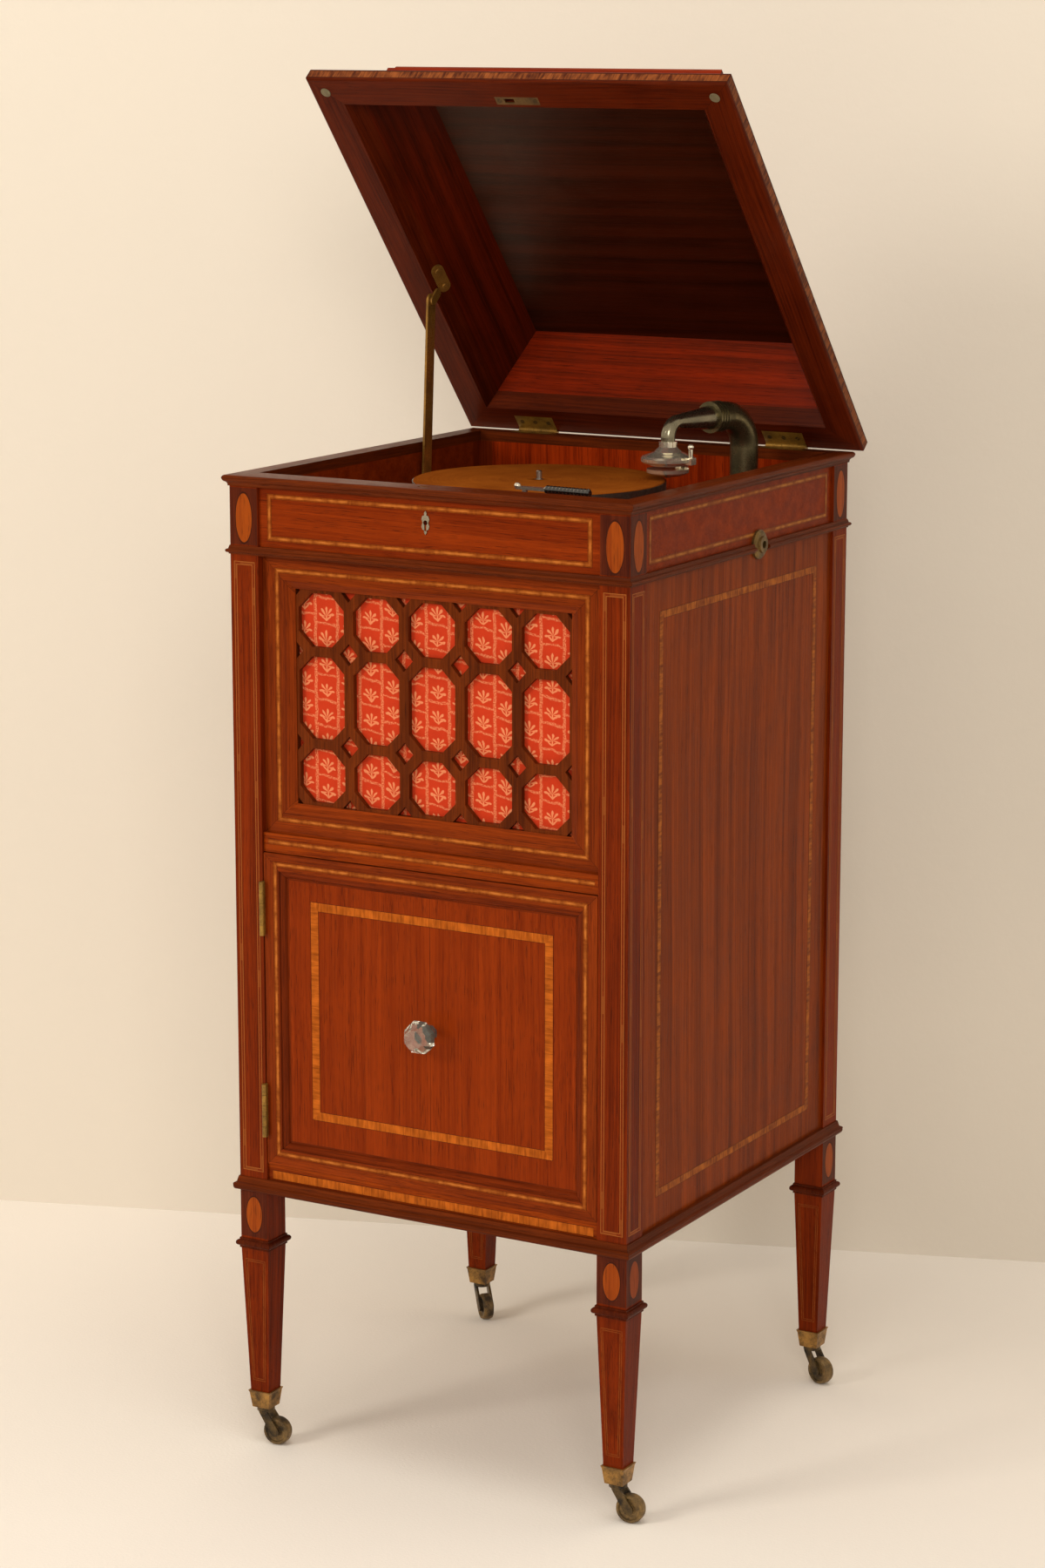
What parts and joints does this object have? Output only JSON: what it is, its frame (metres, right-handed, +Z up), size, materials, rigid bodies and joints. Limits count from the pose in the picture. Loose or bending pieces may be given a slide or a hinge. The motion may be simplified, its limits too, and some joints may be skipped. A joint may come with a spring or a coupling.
{
  "type": "disc talking-machine cabinet",
  "caption": "Inlaid mahogany record-player cabinet on tapered legs with casters, with a hinged lid on a stay, turntable, tone arm, pierced grille and a record cupboard.",
  "frame": {"origin": "on the floor, at the centre of the bounding box", "axes": "+X to the right, the front faces -Y, +Z up"},
  "size_m": [0.4847, 0.5551, 1.4397],
  "materials": {
    "mahogany": "french-polished figured veneer with light inlay",
    "inner_wood": "stained and varnished",
    "grille_cloth": "woven red cloth with pale sprigs",
    "felt": "brown felt",
    "aged_brass": "aged and dull",
    "wheel_brass": "worn",
    "nickel": "nickel plated",
    "bronze": "dark bronzed and polished",
    "horn_iron": "black painted casting",
    "cast_frame": "dark painted casting",
    "steel": "oiled steel",
    "knob_glass": "clear facetted glass",
    "black_gloss": "black, ribbed"
  },
  "bodies": {
    "case": {"corner_posts": "mahogany", "leg_collars": "mahogany", "side_panels": "mahogany", "back_panel": "inner_wood", "frieze_boards": "mahogany", "rim_moulding": "mahogany", "mid_moulding": "mahogany", "base_moulding": "mahogany", "front_rails": "mahogany", "grille_frame": "mahogany", "grille_fretwork": "mahogany", "grille_cloth": "grille_cloth", "motor_board": "inner_wood", "board_cleats": "inner_wood", "floor_boards": "inner_wood", "record_dividers": "inner_wood", "lock_case": "aged_brass", "keyhole_escutcheon": "nickel", "crank_escutcheon": "aged_brass", "post_hinges": "aged_brass", "rim_hinges": "aged_brass", "stay_guide": "aged_brass", "caster_cups": "aged_brass", "motor_frame": "cast_frame"},
    "lid": {"lid_frame": "mahogany", "lid_sides": "mahogany", "lid_top": "mahogany", "lid_hinge_leaves": "aged_brass", "lid_bumpers": "aged_brass", "lock_strike": "aged_brass", "stay_bracket": "aged_brass"},
    "lid_stay": {"lid_stay": "aged_brass"},
    "door": {"door_frame": "mahogany", "door_moulding": "mahogany", "door_panel": "mahogany", "door_hinge_leaves": "aged_brass", "door_knob": "knob_glass"},
    "lock_bolt": {"lock_bolt": "aged_brass"},
    "turntable": {"platter": "cast_frame", "platter_felt": "felt", "spindle": "steel"},
    "spring_barrel": {"spring_barrel": "steel"},
    "spring_arbor": {"spring_arbor": "steel"},
    "winding_shaft": {"winding_shaft": "steel"},
    "governor": {"governor": "steel"},
    "tone_arm": {"gooseneck": "bronze", "arm_tube": "nickel", "sound_box": "nickel", "horn": "horn_iron"},
    "sound_weight": {"sound_weight": "nickel"},
    "start_lever": {"start_lever": "nickel", "lever_handle": "black_gloss"},
    "caster_front_left": {"caster_fork_front_left": "aged_brass"},
    "wheel_front_left": {"caster_wheel_front_left": "wheel_brass"},
    "caster_front_right": {"caster_fork_front_right": "aged_brass"},
    "wheel_front_right": {"caster_wheel_front_right": "wheel_brass"},
    "caster_back_right": {"caster_fork_back_right": "aged_brass"},
    "wheel_back_right": {"caster_wheel_back_right": "wheel_brass"},
    "caster_back_left": {"caster_fork_back_left": "aged_brass"},
    "wheel_back_left": {"caster_wheel_back_left": "wheel_brass"}
  },
  "joints": [
    {"name": "lid_hinge", "type": "hinge", "parent": "case", "child": "lid", "pos_m": [0, 0.24865, 1.0385], "axis": [1, 0, 0], "range_deg": [0, 49.5]},
    {"name": "stay_swing", "type": "hinge", "parent": "lid", "child": "lid_stay", "pos_m": [-0.205, 0.10385, 1.19], "axis": [1, 0, 0], "range_deg": [0, 2]},
    {"name": "door_hinge", "type": "hinge", "parent": "case", "child": "door", "pos_m": [-0.19605, -0.25385, 0.484], "axis": [0, 0, 1], "range_deg": [-105, 0]},
    {"name": "lock_bolt_slide", "type": "slide", "parent": "case", "child": "lock_bolt", "axis": [0, 0, 1], "range_m": [0, 0.007]},
    {"name": "turntable_spin", "type": "hinge", "parent": "case", "child": "turntable", "pos_m": [0, -0.02115, 1.023], "axis": [0, 0, 1], "continuous": true},
    {"name": "barrel_spin", "type": "hinge", "parent": "case", "child": "spring_barrel", "pos_m": [-0.02145, 0.03085, 0.926], "axis": [0, 0, 1], "continuous": true},
    {"name": "governor_spin", "type": "hinge", "parent": "case", "child": "governor", "pos_m": [0.01408, -0.04764, 0.926], "axis": [0, 0, 1], "continuous": true},
    {"name": "winding_spin", "type": "hinge", "parent": "case", "child": "winding_shaft", "pos_m": [0.1, 0.03085, 0.9645], "axis": [1, 0, 0], "continuous": true},
    {"name": "arbor_spin", "type": "hinge", "parent": "case", "child": "spring_arbor", "pos_m": [-0.02145, 0.03085, 0.936], "axis": [0, 0, 1], "continuous": true},
    {"name": "arm_swing", "type": "hinge", "parent": "case", "child": "tone_arm", "pos_m": [-0.06, 0.20885, 0.976], "axis": [0, 0, 1], "range_deg": [-21, 0]},
    {"name": "weight_float", "type": "hinge", "parent": "tone_arm", "child": "sound_weight", "pos_m": [0.12079, 0.06798, 1.0362], "axis": [-0.9809, 0.1946, 0], "range_deg": [0, 3.5]},
    {"name": "start_lever_turn", "type": "hinge", "parent": "case", "child": "start_lever", "pos_m": [0.071, -0.17515, 1.035], "axis": [0, 0, 1], "range_deg": [-18, 18]},
    {"name": "swivel_front_left", "type": "hinge", "parent": "case", "child": "caster_front_left", "pos_m": [-0.21325, -0.2339, 0.041], "axis": [0, 0, 1], "continuous": true},
    {"name": "roll_front_left", "type": "hinge", "parent": "caster_front_left", "child": "wheel_front_left", "pos_m": [-0.19933, -0.23244, 0.015], "axis": [-0.1045, 0.9945, 0], "continuous": true},
    {"name": "swivel_front_right", "type": "hinge", "parent": "case", "child": "caster_front_right", "pos_m": [0.21325, -0.2339, 0.041], "axis": [0, 0, 1], "continuous": true},
    {"name": "roll_front_right", "type": "hinge", "parent": "caster_front_right", "child": "wheel_front_right", "pos_m": [0.22715, -0.23219, 0.015], "axis": [-0.1219, 0.9925, 0], "continuous": true},
    {"name": "swivel_back_right", "type": "hinge", "parent": "case", "child": "caster_back_right", "pos_m": [0.21325, 0.2216, 0.041], "axis": [0, 0, 1], "continuous": true},
    {"name": "roll_back_right", "type": "hinge", "parent": "caster_back_right", "child": "wheel_back_right", "pos_m": [0.22649, 0.21704, 0.015], "axis": [0.3256, 0.9455, 0], "continuous": true},
    {"name": "swivel_back_left", "type": "hinge", "parent": "case", "child": "caster_back_left", "pos_m": [-0.21325, 0.2216, 0.041], "axis": [0, 0, 1], "continuous": true},
    {"name": "roll_back_left", "type": "hinge", "parent": "caster_back_left", "child": "wheel_back_left", "pos_m": [-0.20285, 0.21223, 0.015], "axis": [0.6691, 0.7431, 0], "continuous": true}
  ],
  "couplings": [
    {"joint": "stay_swing", "follows": "lid_hinge", "ratio": 0.04},
    {"joint": "barrel_spin", "follows": "turntable_spin", "ratio": -0.25},
    {"joint": "governor_spin", "follows": "turntable_spin", "ratio": -4},
    {"joint": "arbor_spin", "follows": "winding_spin", "ratio": 1}
  ]
}
